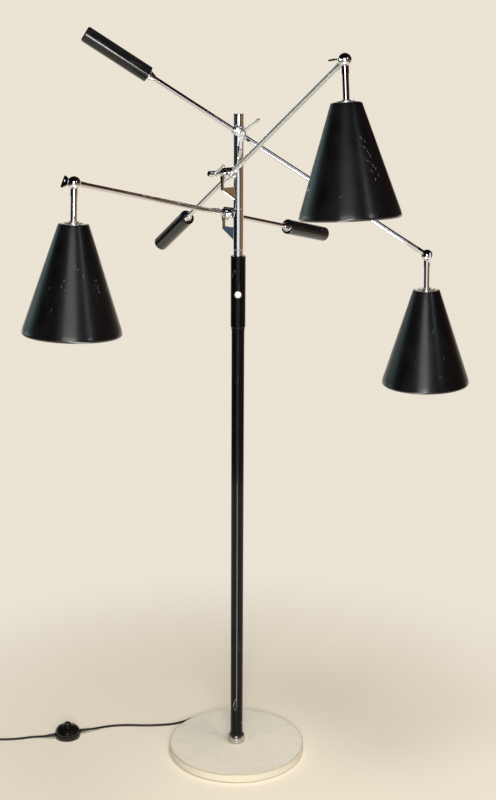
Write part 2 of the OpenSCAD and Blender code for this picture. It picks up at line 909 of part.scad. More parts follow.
module cord_gland() {
    color([0.12, 0.12, 0.12])
        rotate([0, 0, exit_angle])
            translate([base_r + gland_flange - gland_l, 0, groove_z])
                rotate([0, 90, 0])
                    rotate_extrude()
                        polygon([
                            [cord_d / 2 + slip, 0], [groove_w / 2 - slip, 0],
                            [groove_w / 2 - slip, gland_l - gland_flange + slip],
                            [groove_w / 2 + 1.2, gland_l - gland_flange + slip],
                            [groove_w / 2 + 1.2, gland_l - 0.6], [groove_w / 2 + 0.6, gland_l],
                            [cord_d / 2 + slip, gland_l]
                        ]);
}

module cord_stretch(route) {
    line = smooth_route(route);
    color([0.06, 0.06, 0.06])
        polyhedron(tube_points(line, cord_d / 2, 8), tube_faces(len(line), 8));
}

module cord_to_switch() {
    cord_stretch(ROUTE_BASE);
}

module cord_to_coil() {
    cord_stretch(ROUTE_COIL);
}

module cord_coil() {
    color([0.06, 0.06, 0.06])
        polyhedron(tube_points(coil_line, cord_d / 2, 6), tube_faces(len(coil_line), 6));
}

module at_foot_switch() {
    translate([foot_switch_x, foot_switch_y, 0])
        rotate([0, 0, foot_switch_turn])
            children();
}

// Two-tier housing: a low band, a groove, a domed cover and a ring round the button
module foot_switch_body() {
    r = foot_switch_d / 2;
    ring_r = foot_button_d / 2 + 3;
    band_z = 9.8;
    dome_z = band_z + 1.7;
    cover_r = r - 0.8;
    button_room = foot_button_travel + foot_button_in;
    color([0.1, 0.1, 0.1])
        at_foot_switch()
            difference() {
                union() {
                    rotate_extrude()
                        polygon(concat(
                            [[0, 0], [r - 1, 0], [r, 1], [r, band_z - 0.8], [cover_r, band_z]],
                            [[cover_r - 0.8, band_z], [cover_r - 0.8, dome_z - 0.8]],
                            [[cover_r, dome_z - 0.8]],
                            [for (a = [0:10:60]) [
                                ring_r + (cover_r - ring_r) * cos(a),
                                dome_z + (foot_switch_h - dome_z) * sin(a)
                            ]],
                            [[ring_r + 0.8, foot_switch_h - 0.5], [ring_r, foot_switch_h + 0.6]],
                            [[0, foot_switch_h + 0.6]]
                        ));
                    translate([-foot_boss_r, 0, foot_cord_z])
                        rotate([0, 90, 0])
                            cylinder(d = cord_d + 3, h = 2 * foot_boss_r);
                }
                translate([0, 0, foot_switch_h - button_room])
                    cylinder(r = foot_button_d / 2 + 0.2, h = 2 * button_room);
            }
}

module foot_switch_button() {
    low = foot_switch_h - foot_button_in + 0.5;
    high = foot_switch_h + foot_button_up;
    r = foot_button_d / 2;
    color([0.13, 0.13, 0.13])
        at_foot_switch()
            rotate_extrude()
                polygon([
                    [0, low], [r, low], [r, high - 1.2], [r - 0.4, high - 0.4],
                    [r - 1.2, high], [r - 2.4, high - 0.5], [0, high - 0.8]
                ]);
}

// Band round the bundle of turns, on the side away from the lamp
module coil_tie() {
    room = 0.3;
    low = coil_z1 - cord_d / 2 - room;
    high = coil_z1 + coil_pitch + cord_d / 2 + room;
    inner = coil_r - coil_pitch * (coil_middle - 0.1) - cord_d / 2 - 2 * room;
    outer = coil_r + cord_d / 2 - coil_pitch * 0.4;
    color("dimgray")
        translate([coil_x, coil_y, 0])
            rotate([90, 0, -90 + 6])
                translate([0, 0, -3])
                    difference() {
                        linear_extrude(6)
                            polygon(tie_outline(
                                inner - tie_t, outer + tie_t, low - tie_t, high + tie_t, 2
                            ));
                        translate([0, 0, -cut])
                            linear_extrude(6 + 2 * cut)
                                polygon(tie_outline(inner, outer, low, high, 1.2));
                    }
}

function tie_outline(x0, x1, y0, y1, r) = concat(
    arc(x1 - r, y1 - r, r, 0, 90, 3), arc(x0 + r, y1 - r, r, 90, 180, 3),
    arc(x0 + r, y0 + r, r, 180, 270, 3), arc(x1 - r, y0 + r, r, 270, 360, 3)
);

// Two-blade plug with a ribbed strain relief, lying beside the coil
module plug() {
    at = coil_point(coil_turns) + plug_tail * coil_out;
    body_z = relief_l + plug_l;
    body_r = 8.8;
    grip_r = body_r - 0.6;
    color([0.08, 0.08, 0.08])
        translate(at)
            rotate([0, 90, atan2(coil_out[1], coil_out[0])]) {
                rotate_extrude()
                    polygon(concat(
                        [[0, 0], [3.6, 0]],
                        [for (k = [0:4]) for (p = [[3.7, 0.6], [4.6, 1.2], [4.6, 2.6], [3.9, 3.2]])
                            [p[0] + 0.35 * k, p[1] + 3.6 * k]],
                        [[6, relief_l], [grip_r, relief_l + 5], [body_r, relief_l + 14]],
                        [[body_r, body_z - 5], [grip_r, body_z - 4], [grip_r, body_z - 1]],
                        [[grip_r - 0.8, body_z], [0, body_z]]
                    ));
                for (y = [-1, 1])
                    translate([-3.1, y * 5 - 0.75, body_z])
                        cube([6.2, 1.5, blade_l]);
            }
}

base_slab();
base_felt();
hold_down_nut();
base_nipple();
foot_collar();
lower_tube();
switch_sleeve();
push_switch();
push_button();
neck_collar();
inner_mast();
thrust_washers();
top_cap();
sleeve(0);  // sleeve_a
sleeve(1);  // sleeve_b
sleeve(2);  // sleeve_c
bracket(0);  // bracket_a
bracket(1);  // bracket_b
bracket(2);  // bracket_c
clamp_lever(0);  // clamp_lever_a
clamp_lever(1);  // clamp_lever_b
clamp_lever(2);  // clamp_lever_c
pivot_block(0);  // pivot_block_a
pivot_block(1);  // pivot_block_b
pivot_block(2);  // pivot_block_c
rod(0);  // rod_a
rod(1);  // rod_b
rod(2);  // rod_c
ferrule(0);  // ferrule_a
ferrule(1);  // ferrule_b
ferrule(2);  // ferrule_c
handle(0);  // handle_a
handle(1);  // handle_b
handle(2);  // handle_c
knuckle_arm_half(0);  // knuckle_arm_half_a
knuckle_arm_half(1);  // knuckle_arm_half_b
knuckle_arm_half(2);  // knuckle_arm_half_c
knuckle_shade_half(0);  // knuckle_shade_half_a
knuckle_shade_half(1);  // knuckle_shade_half_b
knuckle_shade_half(2);  // knuckle_shade_half_c
thumb_key(0);  // thumb_key_a
thumb_key(1);  // thumb_key_b
thumb_key(2);  // thumb_key_c
shade(0);  // shade_a
shade(1);  // shade_b
shade(2);  // shade_c
shade_cap(0);  // shade_cap_a
shade_cap(1);  // shade_cap_b
shade_cap(2);  // shade_cap_c
lampholder(0);  // lampholder_a
lampholder(1);  // lampholder_b
lampholder(2);  // lampholder_c
cord_gland();
cord_to_switch();
foot_switch_body();
foot_switch_button();
cord_to_coil();
cord_coil();
coil_tie();
plug();
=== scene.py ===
"""Looks of the three-arm floor lamp: camera, cords, shades, small pieces and all finishes."""
import json
import math

import bpy
from mathutils import Matrix, Vector


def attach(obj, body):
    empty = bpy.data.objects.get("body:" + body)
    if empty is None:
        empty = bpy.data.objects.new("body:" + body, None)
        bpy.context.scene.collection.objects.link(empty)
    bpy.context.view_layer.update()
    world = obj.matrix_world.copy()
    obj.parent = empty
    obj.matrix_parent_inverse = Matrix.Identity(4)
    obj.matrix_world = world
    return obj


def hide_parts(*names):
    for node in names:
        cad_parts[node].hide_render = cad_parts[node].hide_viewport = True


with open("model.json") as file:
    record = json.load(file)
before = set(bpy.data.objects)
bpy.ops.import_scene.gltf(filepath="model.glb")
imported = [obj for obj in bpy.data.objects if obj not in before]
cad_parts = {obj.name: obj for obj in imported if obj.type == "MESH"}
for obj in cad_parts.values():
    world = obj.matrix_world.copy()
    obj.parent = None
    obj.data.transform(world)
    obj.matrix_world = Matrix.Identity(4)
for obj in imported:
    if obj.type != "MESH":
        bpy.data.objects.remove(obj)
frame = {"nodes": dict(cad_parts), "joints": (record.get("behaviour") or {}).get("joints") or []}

MM = 0.001
ARMS = "abc"
OWN_PLACE = "own_place"
scene = bpy.context.scene
nodes = frame["nodes"]
joints = {joint["name"]: joint for joint in frame["joints"]}
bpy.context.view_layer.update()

# Sizes that the pieces made here share with the frame, in millimetres and degrees
ARM_TILT = {"a": -32.6, "b": 30.9, "c": 13.3}
ARM_AZIMUTH = {"a": 6.9, "b": -59.3, "c": -126.8}
SHADE_LEAN = {"a": 1.5, "b": 6, "c": 3.4}
TUBE_D = 27
DROP_L = 73
DROP_D = 12
SHADE_D = 184
SHADE_TOP_D = 56
SHADE_H = 202
SHADE_WALL = 1
SHADE_RIM_R = 4.5
SHOULDER_R = 1.4
CONE_STEPS = 12
HOLDER_L = 62
SOCKET_D = 26.6
SOCKET_DEPTH = 30
THREAD_PITCH = 3.6
THREAD_STEPS = 56
CORD_D = 5
CORD_FIT = 0.985  # keeps the cord's flats inside the round of the CAD model
RELIEF_L = 20
RELIEF_STEPS = 40
RIB_DEPTH = 0.35
COIL_CENTRE = (-596, -10)
COIL_R = 40
COIL_PITCH = 5.45
COIL_TURNS = 7.25
COIL_LOW = 3.7
COIL_STEPS = 32
COIL_START = 90
COIL_IN = 6
TIE_TURN = -84
TWIST_TURNS = 3.5
TWIST_STEPS = 48
TIE_THICK = 0.8
TIE_ROOM = 0.3
TIE_HALF_W = 3
TIE_CORNER_R = 1.6
PLUG_TAIL = 14
PLUG_RELIEF = 20
PLUG_BODY = 34
PLUG_R = 8.8
PLUG_RIBS = 5
PLUG_RIB_STEP = 3.6
BLADE_L = 18
BLADE_W = 6.2
BLADE_T = 1.5
BLADE_SIDE = 5
BLADE_HOLE_R = 1.6
BLADE_HOLE_IN = 5

# Places on the cord's way, as in the CAD model
ROUTE_BASE = [
    (-71.5, 134.5, 5), (-74.4, 139.9, 5), (-79, 144.4, 4.2), (-85.5, 146, 3),
    (-92.8, 143.8, 2.5), (-99.8, 139.8, 2.5), (-106.4, 135.4, 2.5), (-112.8, 130.5, 2.5),
    (-125.7, 119.5, 2.5), (-141.9, 111.1, 2.5), (-158.4, 105.7, 2.5), (-180, 103, 2.5),
    (-203, 101, 2.5), (-226, 101, 2.5), (-250, 102, 2.5),
    (-273, 101, 2.5), (-296, 97, 2.5), (-315, 89, 3), (-331, 79, 5), (-341.9, 70.8, 7.6),
    (-347.6, 68.7, 8), (-353.2, 66.7, 8), (-358.6, 64.7, 8),
]
ROUTE_COIL = [
    (-417.4, 43.3, 8), (-423, 41.2, 8), (-431, 40, 6.8), (-442, 43, 4), (-454, 46, 2.5),
    (-474, 42, 2.5), (-496, 35, 2.5), (-518, 32, 2.5), (-541, 31, 2.5), (-558, 30, 3),
    (-572, 30, 3.7), (-581, 30, 3.7), (-590, 30, 3.7),
]


# Camera at the photograph's place

PHOTO_H = 800
FOCAL_PX = 1432.88
SENSOR = 36
CAMERA_PLACE = Vector((0.0217, -2.91156, 1.62612))
CAMERA_DOWN = math.radians(15.51)
CAMERA_ROLL = math.radians(0.32)


def add_camera():
    lens = bpy.data.cameras.new("photo_camera")
    lens.sensor_width = SENSOR
    lens.lens = FOCAL_PX / PHOTO_H * SENSOR
    camera = bpy.data.objects.new("photo_camera", lens)
    scene.collection.objects.link(camera)
    tipped = Matrix.Rotation(math.pi / 2 - CAMERA_DOWN, 4, "X")
    rolled = Matrix.Rotation(CAMERA_ROLL, 4, "Z")
    camera.matrix_world = Matrix.Translation(CAMERA_PLACE) @ tipped @ rolled
    scene.camera = camera


# Materials

class Wire:
    """One output in a finish, on which sums are written as plain arithmetic."""

    def __init__(self, finish, socket):
        self.finish = finish
        self.socket = socket

    def __add__(self, other):
        return self.finish.sum("ADD", self, other)

    def __radd__(self, other):
        return self.finish.sum("ADD", other, self)

    def __sub__(self, other):
        return self.finish.sum("SUBTRACT", self, other)

    def __rsub__(self, other):
        return self.finish.sum("SUBTRACT", other, self)

    def __mul__(self, other):
        return self.finish.sum("MULTIPLY", self, other)

    def __rmul__(self, other):
        return self.finish.sum("MULTIPLY", other, self)

    def __abs__(self):
        return self.finish.sum("ABSOLUTE", self)


class Finish:
    """A material under construction, or the light of the studio's world."""

    def __init__(self, name, world=None):
        self.material = world or bpy.data.materials.new(name)
        self.material.use_nodes = True
        self.tree = self.material.node_tree
        self.tree.nodes.clear()

    def add(self, kind, settings=None, values=None, output=0):
        """Adds a node of any kind: its settings first, then the values or wires of its sockets."""
        node = self.tree.nodes.new(kind)
        for key, setting in (settings or {}).items():
            setattr(node, key, setting)
        for key, value in (values or {}).items():
            if isinstance(value, Wire):
                self.tree.links.new(value.socket, node.inputs[key])
            else:
                node.inputs[key].default_value = value
        return Wire(self, node.outputs[output]) if node.outputs else None

    def sum(self, operation, *values):
        return self.add("ShaderNodeMath", {"operation": operation}, dict(enumerate(values)))

    def place(self, own_place=None):
        """Object coordinates, or coordinates along a piece's own axes when its place is given."""
        seen = self.add("ShaderNodeTexCoord", output=3)
        if own_place is None:
            return seen
        turned = own_place.to_euler()
        values = {"Vector": seen, "Location": own_place.translation, "Rotation": turned}
        return self.add("ShaderNodeMapping", {"vector_type": "TEXTURE"}, values)

    def stored(self):
        """Where each point of a piece made here was before the piece was put in place."""
        return self.add("ShaderNodeAttribute", {"attribute_name": OWN_PLACE}, output=1)

    def stretched(self, vector, x, y, z):
        values = {0: vector, 1: (x, y, z)}
        return self.add("ShaderNodeVectorMath", {"operation": "MULTIPLY"}, values)

    def axes(self, vector):
        parts = self.add("ShaderNodeSeparateXYZ", values={0: vector})
        outputs = parts.socket.node.outputs
        return [Wire(self, outputs[i]) for i in range(3)]

    def noise(self, vector, scale, detail=2.0, rough=0.5, warp=0.0):
        values = {
            "Vector": vector, "Scale": scale, "Detail": detail, "Roughness": rough,
            "Distortion": warp,
        }
        return self.add("ShaderNodeTexNoise", values=values)

    def rings(self, height, scale, detail=2.0):
        """Noise that changes along one measure only, such as the marks of turning."""
        values = {"W": height, "Scale": scale, "Detail": detail}
        return self.add("ShaderNodeTexNoise", {"noise_dimensions": "1D"}, values)

    def rise(self, value, low, high):
        """0 below the low value, 1 above the high one, and smooth between."""
        values = {"Value": value, "From Min": low, "From Max": high}
        return self.add("ShaderNodeMapRange", {"interpolation_type": "SMOOTHSTEP"}, values)

    def band(self, value, start, end):
        """1 between the two slopes, which are pairs of values, and 0 outside them."""
        return self.rise(value, *start) * (1 - self.rise(value, *end))

    def tint(self, factor, first, second):
        """Colour that goes from the first to the second as the factor rises."""
        values = {0: factor, 6: colour(first), 7: colour(second)}
        return self.add("ShaderNodeMix", {"data_type": "RGBA"}, values, output=2)

    def bump(self, height, strength, distance):
        values = {"Height": height, "Strength": strength, "Distance": distance}
        return self.add("ShaderNodeBump", values=values)

    def scratches(self, vector, scale, length, width, amount):
        """Thin straight marks along Z of the vector given: 1 in a scratch, 0 elsewhere."""
        values = {"Vector": self.stretched(vector, 1, 1, 1 / length), "Scale": scale}
        cells = self.add("ShaderNodeTexVoronoi", {"feature": "DISTANCE_TO_EDGE"}, values)
        patches = self.rise(self.noise(vector, scale * 0.23, 3), 1 - amount, 1.06 - amount)
        return (1 - self.rise(cells, 0, width)) * patches

    def mark(self, across, along, place, turn, length, width):
        """One short scratch at its place on a surface, turned from the upright, in millimetres."""
        lean = math.radians(turn)
        side = across - place[0] * MM
        height = along - place[1] * MM
        way = side * math.sin(lean) + height * math.cos(lean)
        off = side * math.cos(lean) - height * math.sin(lean)
        inside = 1 - self.rise(abs(way), 0.3 * length * MM, 0.5 * length * MM)
        return inside * (1 - self.rise(abs(off), 0.2 * width * MM, 0.5 * width * MM))

    def skin(self, values):
        """Ends the finish in one surface shader."""
        plain = {key: colour(value) for key, value in values.items()}
        surface = self.add("ShaderNodeBsdfPrincipled", values=plain)
        self.add("ShaderNodeOutputMaterial", values={"Surface": surface})
        return self.material


def colour(value):
    """A colour written as three numbers gets its fourth."""
    return (*value, 1.0) if isinstance(value, tuple) and len(value) == 3 else value


def polished_stone():
    """Cream-white stone with faint clouds, a few pale grey veins and a painted shade line along its
    top arris.
    """
    f = Finish("white_stone")
    p = f.place()
    clouds = f.noise(p, 4.5, 6, 0.55, 0.6)
    veins = 1 - f.rise(abs(f.noise(p, 3.2, 5, 0.6, 1.4) - 0.5), 0.0, 0.03)
    crystals = f.noise(p, 420, 2)
    aged = f.noise(p, 2.1, 3, 0.5, 0.3)
    body = f.tint(f.rise(clouds, 0.3, 0.72), (0.77, 0.72, 0.6), (0.72, 0.675, 0.56))
    veined = f.tint(veins * f.rise(aged, 0.45, 0.65) * 0.025, body, (0.56, 0.53, 0.45))
    warmed = f.tint(f.rise(aged, 0.5, 0.8) * 0.3, veined, (0.75, 0.67, 0.5))
    grained = f.tint(f.rise(crystals, 0.35, 0.75) * 0.06, warmed, (0.86, 0.83, 0.75))
    worn = f.noise(p, 38, 4, 0.65)
    x, y, z = f.axes(p)
    # A darker line along the slab's top arris: painted shade, where the rounded edge turns away
    # from the light
    near_edge = f.rise(f.sum("SQRT", x * x + y * y), 0.1468, 0.1485)
    edge = near_edge * f.rise(z, 0.0165, 0.018)
    arris_shaded = f.tint(edge * 0.85, grained, (0.5, 0.46, 0.34))
    return f.skin({
        "Base Color": arris_shaded,
        "Roughness": 0.24 + 0.16 * f.rise(worn, 0.35, 0.75) + 0.05 * crystals,
        "Normal": f.bump(0.4 * crystals + 0.5 * worn, 0.03, 0.0004),
        "Subsurface Weight": 0.06,
        "Subsurface Radius": Vector((0.006, 0.005, 0.004)),
        "IOR": 1.5,
    })


def chrome(name, own_place=None):
    """Old bright plating: soft smears, fine rubbing marks along the piece, and pitted specks."""
    f = Finish(name)
    p = f.place(own_place)
    smears = f.rise(f.noise(f.stretched(p, 1, 1, 0.35), 42, 4, 0.6, 0.4), 0.48, 0.8)
    rubbed = f.noise(f.stretched(p, 1, 1, 0.03), 900, 3)
    pits = f.rise(f.noise(p, 620, 2), 0.74, 0.8) * f.rise(f.noise(p, 26, 3), 0.56, 0.7)
    plating = f.tint(smears * 0.5, (0.78, 0.78, 0.79), (0.68, 0.665, 0.64))
    return f.skin({
        "Base Color": f.tint(pits * 0.5, plating, (0.28, 0.22, 0.17)),
        "Metallic": 1.0,
        "Roughness": 0.05 + 0.05 * smears + 0.02 * rubbed + 0.12 * pits,
        "Normal": f.bump(0.2 * smears - 0.03 * pits, 0.02, 0.0002),
    })


# Chips on the stem, counted as the scratches on the shades, but up from the floor
TUBE_MARKS = [(-6, 117, 12, 17, 1.6), (-4, 105, -24, 9, 1.2), (-2, 128, 20, 8, 0.9)]


def black_enamel():
    """Gloss black stove enamel on the stem, rubbed and chipped low down."""
    f = Finish("stem_enamel")
    p = f.place()
    x, y, z = f.axes(p)
    peel = f.noise(p, 190, 2)
    haze = f.noise(f.stretched(p, 1, 1, 0.25), 36, 4, 0.6)
    low_down = 1 - f.rise(z, 0.05, 0.24)
    fine = f.scratches(p, 60, 9, 0.012, 0.44)
    chips = f.rise(f.noise(p, 85, 3, 0.6), 0.68, 0.7) * low_down
    round_it = TUBE_D / 2 * MM * f.sum("ARCTAN2", x, 0 - y)
    marks = fine * 0.35 + chips
    for side, up, turn, length, width in TUBE_MARKS:
        marks = f.sum("MAXIMUM", marks, f.mark(round_it, z, (side, up), turn, length, width))
    worn = f.tint(f.rise(haze, 0.4, 0.8), (0.002, 0.002, 0.0022), (0.0045, 0.004, 0.004))
    return f.skin({
        "Base Color": f.tint(marks, worn, (0.42, 0.4, 0.37)),
        "Roughness": 0.2 + 0.12 * f.rise(haze, 0.4, 0.8) + 0.2 * marks,
        "Normal": f.bump(peel * 0.5 - marks, 0.08, 0.0003),
        "Specular IOR Level": 0.1,
        "Coat Weight": 0.22,
        "Coat Roughness": 0.06,
    })


# Scratches on each shade: millimetres round it from the front, and up from the ball,
# then the turn from the upright in degrees, the length and the width
SHADE_MARKS = {
    "a": [
        (9, -150, 20, 12, 0.6), (-30, -212, -40, 8, 0.6), (22, -240, 65, 9, 0.6),
        (31, -205, 10, 6, 0.8),
    ],
    "b": [
        (21, -134, -28, 11, 0.5), (28, -140, 12, 6, 0.5), (26, -150, -44, 8, 0.6),
        (34, -160, -24, 12, 0.5), (38, -166, 8, 6, 0.6), (32, -174, -50, 7, 0.5),
        (42, -182, -18, 10, 0.5), (48, -188, 20, 6, 0.7), (38, -192, -36, 9, 0.6),
        (53, -199, -30, 8, 0.6), (45, -206, 15, 6, 0.8), (-20, -232, 75, 7, 0.5),
    ],
    "c": [
        (10, -142, 35, 4, 0.6), (15, -148, 60, 4, 0.7), (25, -159, 20, 6, 0.6),
        (-9, -168, 50, 5, 0.7), (-13, -178, 20, 7, 0.6), (-6, -184, 70, 3, 0.9),
        (-37, -183, 15, 5, 0.7), (52, -168, -60, 4, 0.9), (57, -180, -15, 9, 0.7),
        (60, -188, -40, 6, 0.7), (-30, -220, 15, 8, 0.5),
    ],
}


def shade_paint(arm):
    """Satin black paint on spun metal: spinning rings, dust, scuffs and longer scratches."""
    f = Finish(f"shade_paint_{arm}")
    p = f.stored()
    x, y, z = f.axes(p)
    round_it = f.sum("ARCTAN2", x, 0 - y) * f.sum("SQRT", x * x + y * y)
    rings = f.rings(z, 900, 3)
    haze = f.noise(f.stretched(p, 1, 1, 0.5), 16, 5, 0.6, 0.3)
    dust = f.rise(f.noise(p, 900, 2), 0.68, 0.8) * f.rise(f.noise(p, 12, 3), 0.42, 0.7)
    scuffs = f.scratches(p, 34, 6, 0.008, 0.45)
    marks = scuffs * 0.15
    for side, height, turn, length, width in SHADE_MARKS[arm]:
        marks = f.sum("MAXIMUM", marks, f.mark(round_it, z, (side, height), turn, length, width))
    hem = 1 - f.rise(z, -0.266, -0.262)
    rim = 1 - f.rise(z, -0.2745, -0.272)
    rubbed = rim * f.rise(f.noise(p, 70, 4, 0.65), 0.56, 0.66)
    paint = f.tint(f.rise(haze, 0.35, 0.75), (0.0015, 0.0015, 0.0018), (0.004, 0.0037, 0.0037))
    dusted = f.tint(dust * 0.2, paint, (0.2, 0.19, 0.17))
    scratched = f.tint(marks * 0.6, dusted, (0.3, 0.295, 0.28))
    return f.skin({
        "Base Color": f.tint(rubbed * 0.7, scratched, (0.4, 0.38, 0.35)),
        "Roughness": 0.29 + 0.08 * f.rise(haze, 0.35, 0.75) + 0.05 * rings + 0.15 * marks,
        "Normal": f.bump(0.2 * rings - 0.3 * marks, 0.08, 0.0003),
        "Coat Weight": 0.1 + 0.7 * hem,
        "Coat Roughness": 0.14,
    })


def shade_lining():
    """White enamel inside the shades, yellowed and dusty towards the lampholder."""
    f = Finish("shade_lining")
    p = f.stored()
    height = f.axes(p)[2]
    mottle = f.noise(p, 24, 5, 0.6)
    peel = f.noise(p, 260, 2)
    heat = f.rise(height, -0.19, -0.08)
    white = f.tint(f.rise(mottle, 0.3, 0.75) * 0.5, (0.8, 0.78, 0.72), (0.73, 0.7, 0.62))
    specks = f.rise(f.noise(p, 330, 2), 0.74, 0.78)
    warmed = f.tint(heat * 0.5, white, (0.62, 0.54, 0.38))
    return f.skin({
        "Base Color": f.tint(specks * 0.5, warmed, (0.2, 0.17, 0.13)),
        "Roughness": 0.3 + 0.14 * f.rise(mottle, 0.35, 0.75),
        "Normal": f.bump(peel, 0.08, 0.0003),
    })


def handle_plastic(name, own_place):
    """Glossy black plastic of the counterweights, with hairlines and dust."""
    f = Finish(name)
    p = f.place(own_place)
    haze = f.noise(f.stretched(p, 1, 1, 0.3), 40, 4, 0.6, 0.2)
    fine = f.scratches(p, 75, 7, 0.01, 0.5)
    flow = f.noise(f.stretched(p, 1, 1, 0.08), 240, 2)
    dust = f.rise(f.noise(p, 800, 2), 0.68, 0.8) * f.rise(haze, 0.4, 0.7)
    body = f.tint(f.rise(haze, 0.35, 0.8), (0.004, 0.004, 0.0045), (0.009, 0.008, 0.008))
    return f.skin({
        "Base Color": f.tint(fine * 0.15 + dust * 0.08, body, (0.3, 0.29, 0.27)),
        "Roughness": 0.16 + 0.1 * f.rise(haze, 0.35, 0.8) + 0.15 * fine,
        "Normal": f.bump(0.4 * flow - fine, 0.05, 0.0003),
        "Specular IOR Level": 0.3,
        "Coat Weight": 0.4,
        "Coat Roughness": 0.05,
    })


def moulded_black(name, shine, tone=0.014):
    """Moulded black plastic with a faint grain, flow lines and dust in its hollows."""
    f = Finish(name)
    p = f.place()
    grain = f.noise(p, 1100, 2)
    flow = f.noise(p, 60, 4, 0.55, 0.8)
    dust = f.rise(f.noise(p, 700, 2), 0.66, 0.8) * f.rise(f.noise(p, 40, 3), 0.4, 0.65)
    body = f.tint(f.rise(flow, 0.35, 0.7), (tone, tone, tone), (1.8 * tone, 1.7 * tone, 1.6 * tone))
    return f.skin({
        "Base Color": f.tint(dust * 0.2, body, (0.24, 0.22, 0.19)),
        "Roughness": shine + 0.12 * f.rise(flow, 0.35, 0.75) + 0.1 * dust,
        "Normal": f.bump(grain + 0.4 * flow, 0.06, 0.0002),
    })


def aged_white(name, tone, aged_tone, shine):
    """White enamel or plastic that has yellowed a little, with grime in patches."""
    f = Finish(name)
    p = f.place()
    patches = f.noise(p, 55, 4, 0.6, 0.3)
    grime = f.rise(f.noise(p, 320, 3), 0.6, 0.78) * f.rise(patches, 0.45, 0.7)
    fine = f.scratches(p, 150, 5, 0.014, 0.45)
    body = f.tint(f.rise(patches, 0.35, 0.75), tone, aged_tone)
    return f.skin({
        "Base Color": f.tint(grime * 0.5 + fine * 0.2, body, (0.3, 0.27, 0.21)),
        "Roughness": shine + 0.15 * f.rise(patches, 0.4, 0.8),
        "Normal": f.bump(f.noise(p, 420, 2) - fine, 0.08, 0.0002),
    })


def cord_jacket():
    """Black flexible jacket: drawing marks along it, rubbed grey in places, dusty."""
    f = Finish("cord_jacket")
    p = f.stored()
    drawn = f.noise(f.stretched(p, 1, 1, 0.03), 900, 2)
    rubbed = f.rise(f.noise(f.stretched(p, 1, 1, 0.5), 60, 4, 0.6), 0.45, 0.75)
    dust = f.rise(f.noise(p, 900, 2), 0.64, 0.78) * rubbed
    body = f.tint(rubbed, (0.006, 0.006, 0.0065), (0.014, 0.013, 0.0125))
    return f.skin({
        "Base Color": f.tint(dust * 0.35, body, (0.22, 0.2, 0.17)),
        "Roughness": 0.36 + 0.16 * rubbed + 0.08 * drawn,
        "Normal": f.bump(drawn + 0.5 * f.noise(p, 500, 2), 0.15, 0.0002),
    })


def worn_metal(name, bright, dull, shine, own=False):
    """Bare or plated metal: turning rings, darker tarnish in patches, fine scratches."""
    f = Finish(name)
    p = f.stored() if own else f.place()
    tarnish = f.rise(f.noise(p, 90, 5, 0.65, 0.4), 0.4, 0.72)
    turning = f.rings(f.axes(p)[2], 3000, 2)
    fine = f.scratches(p, 160, 6, 0.014, 0.5)
    return f.skin({
        "Base Color": f.tint(tarnish, bright, dull),
        "Metallic": 0.95,
        "Roughness": shine + 0.22 * tarnish + 0.1 * fine,
        "Normal": f.bump(turning - fine, 0.12, 0.0002),
    })


def felt_cloth():
    """Undyed wool felt under the slab."""
    f = Finish("wool_felt")
    p = f.place()
    hairs = f.noise(p, 1600, 4, 0.7, 1.2)
    tufts = f.noise(p, 240, 4, 0.6, 0.5)
    worn = f.rise(f.noise(p, 14, 3), 0.45, 0.75)
    wool = f.tint(f.rise(hairs, 0.35, 0.7), (0.4, 0.36, 0.28), (0.62, 0.57, 0.46))
    return f.skin({
        "Base Color": f.tint(worn * 0.5, wool, (0.34, 0.3, 0.23)),
        "Roughness": 0.88 + 0.1 * tufts,
        "Normal": f.bump(hairs + tufts, 0.5, 0.0008),
        "Sheen Weight": 0.3,
    })


def nylon():
    """Milky bearing washers between the sleeves, with grease at their edges."""
    f = Finish("nylon_washer")
    p = f.place()
    turning = f.rings(f.axes(p)[2], 2400, 2)
    grease = f.rise(f.noise(p, 190, 4, 0.6), 0.42, 0.7)
    return f.skin({
        "Base Color": f.tint(grease, (0.6, 0.58, 0.52), (0.32, 0.28, 0.21)),
        "Roughness": 0.45 - 0.15 * grease,
        "Normal": f.bump(turning, 0.1, 0.0001),
        "Subsurface Weight": 0.1,
        "Subsurface Radius": Vector((0.001, 0.001, 0.001)),
    })


# Studio

BACKDROP = (0.83, 0.765, 0.655)
FLOOR_R = 1.9
WINDOW_PALE = (0.95, 0.94, 0.96)
NEAR_BLACK = (0.006, 0.006, 0.008)


def add_stage():
    scene.view_settings.view_transform = "Standard"
    bpy.ops.mesh.primitive_circle_add(vertices=96, radius=FLOOR_R, fill_type="NGON")
    floor = bpy.context.object
    floor.name = "studio_floor"
    floor.data.materials.append(floor_finish())
    light_world()
    add_softbox("softbox_front", (0.3, -3.3, 1.6), 0.6, (1.2, 1.2), 70, (1, 0.98, 0.94), False)
    add_softbox("softbox_top", (0.4, -0.6, 3.6), 0.8, (1.6, 1.6), 92, (1, 0.98, 0.95), False)
    add_softbox("strip_light_right", (2.3, -2.4, 2.8), 1.1, (0.5, 1.2), 6, (0.85, 0.93, 1))
    add_softbox("panel_front", (-0.2, -2.4, 2.1), 1.1, (1.2, 1.0), 10, (1, 0.99, 0.97))
    add_softbox("lamp_by_camera", (0, -3.3, 1.35), 1, (0.55, 0.55), 26, (1, 0.97, 0.92))


def ray_kinds(f, *kinds):
    """1 for a ray of one of these kinds, 0 for any other."""
    path = f.add("ShaderNodeLightPath")
    wires = [Wire(f, path.socket.node.outputs[kind]) for kind in kinds]
    either = wires[0]
    for wire in wires[1:]:
        either = f.sum("MAXIMUM", either, wire)
    return either


